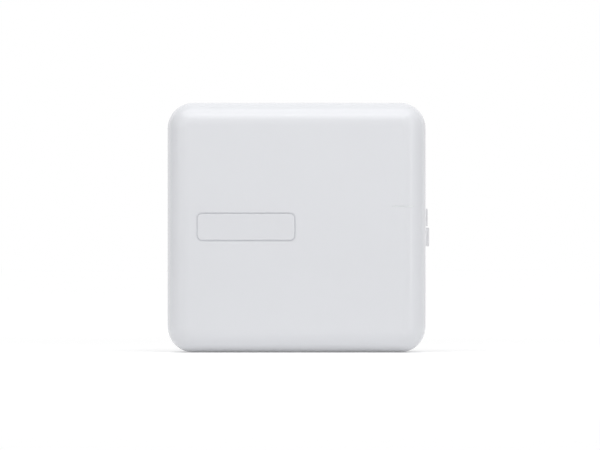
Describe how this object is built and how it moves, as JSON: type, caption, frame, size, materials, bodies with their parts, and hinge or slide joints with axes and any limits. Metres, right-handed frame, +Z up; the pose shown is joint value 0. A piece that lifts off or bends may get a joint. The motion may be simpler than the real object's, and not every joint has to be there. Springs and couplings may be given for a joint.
{
  "type": "alarm control panel",
  "caption": "Square white wall alarm panel: rounded hinged cover, back box with side keys, board, battery and transformer.",
  "frame": {"origin": "centre of the back box's rear face, the face that lies on the wall", "axes": "+X to the right as seen from the front, +Y into the wall, +Z up; the cover faces -Y"},
  "size_m": [0.2639, 0.084, 0.2516],
  "materials": {
    "case_white": "semi-gloss moulded",
    "plate_white": "semi-gloss moulded",
    "light_clear": "frosted clear",
    "steel": "zinc plated",
    "board_green": "solder mask",
    "terminal_green": "moulded",
    "part_black": "moulded",
    "relay_blue": "moulded",
    "capacitor_sleeve": "shrink sleeve",
    "lamp": "clear moulded",
    "socket_white": "moulded",
    "can_metal": "tinned",
    "tin": "tin plated",
    "brass": "plain",
    "fuse_glass": "clear",
    "battery_case": "moulded",
    "battery_lid": "moulded",
    "core_steel": "varnished laminations",
    "coil_tape": "polyester tape",
    "bobbin_cream": "moulded",
    "heat_sink": "black anodised",
    "lead_red": "insulation",
    "lead_black": "insulation",
    "lead_brown": "insulation",
    "lead_yellow": "insulation",
    "lead_grey": "insulation"
  },
  "bodies": {
    "base": {"back_box": "case_white", "status_lamps": "lamp", "hinge_pins": "steel", "cover_screw": "steel", "key_board": "board_green", "key_board_screws": "steel", "key_switches": "part_black", "tamper_switch": "part_black", "main_board": "board_green", "board_screws": "steel", "zone_terminals": "terminal_green", "output_terminals": "terminal_green", "terminal_screws": "tin", "relays": "relay_blue", "capacitors": "capacitor_sleeve", "board_chips": "part_black", "buzzer": "part_black", "status_leds": "lamp", "network_jack": "can_metal", "fuse_clips": "tin", "board_fuses": "fuse_glass", "radio_module": "board_green", "module_header": "part_black", "radio_can": "can_metal", "radio_antenna": "part_black", "clock_cell_holder": "part_black", "clock_cell": "can_metal", "heat_sink": "heat_sink", "regulator": "part_black", "battery_tabs": "tin", "lead_sockets": "socket_white", "battery_case": "battery_case", "battery_lid": "battery_lid", "battery_terminals": "tin", "battery_bracket": "steel", "bracket_screws": "steel", "transformer_core": "core_steel", "transformer_bobbin": "bobbin_cream", "transformer_coil": "coil_tape", "transformer_strap": "steel", "transformer_screws": "steel", "mains_terminal": "socket_white", "mains_terminal_screws": "brass", "positive_sleeves": "lead_red", "negative_sleeves": "lead_black", "battery_lead_red": "lead_red", "battery_lead_black": "lead_black", "primary_leads": "lead_brown", "secondary_leads": "lead_yellow", "key_board_leads": "lead_grey"},
    "cover": {"front_cover": "case_white", "name_plate": "plate_white", "status_light_guide": "light_clear"},
    "upper_key": {"side_key_upper": "case_white", "key_plunger_upper": "part_black"},
    "lower_key": {"side_key_lower": "case_white", "key_plunger_lower": "part_black"},
    "tamper": {"tamper_plunger": "socket_white"}
  },
  "joints": [
    {"name": "cover_hinge", "type": "hinge", "parent": "base", "child": "cover", "pos_m": [-0.124, -0.0523, 0], "axis": [0, 0, -1], "range_deg": [0, 90]},
    {"name": "upper_key_push", "type": "slide", "parent": "base", "child": "upper_key", "axis": [-1, 0, 0], "range_m": [0, 0.0008], "stiffness_N_per_m": 2500},
    {"name": "lower_key_push", "type": "slide", "parent": "base", "child": "lower_key", "axis": [-1, 0, 0], "range_m": [0, 0.0008], "stiffness_N_per_m": 2500},
    {"name": "tamper_travel", "type": "slide", "parent": "base", "child": "tamper", "axis": [0, -1, 0], "range_m": [0, 0.002]}
  ],
  "couplings": [
    {"joint": "tamper_travel", "follows": "cover_hinge", "m_per_rad": 0.001273}
  ]
}
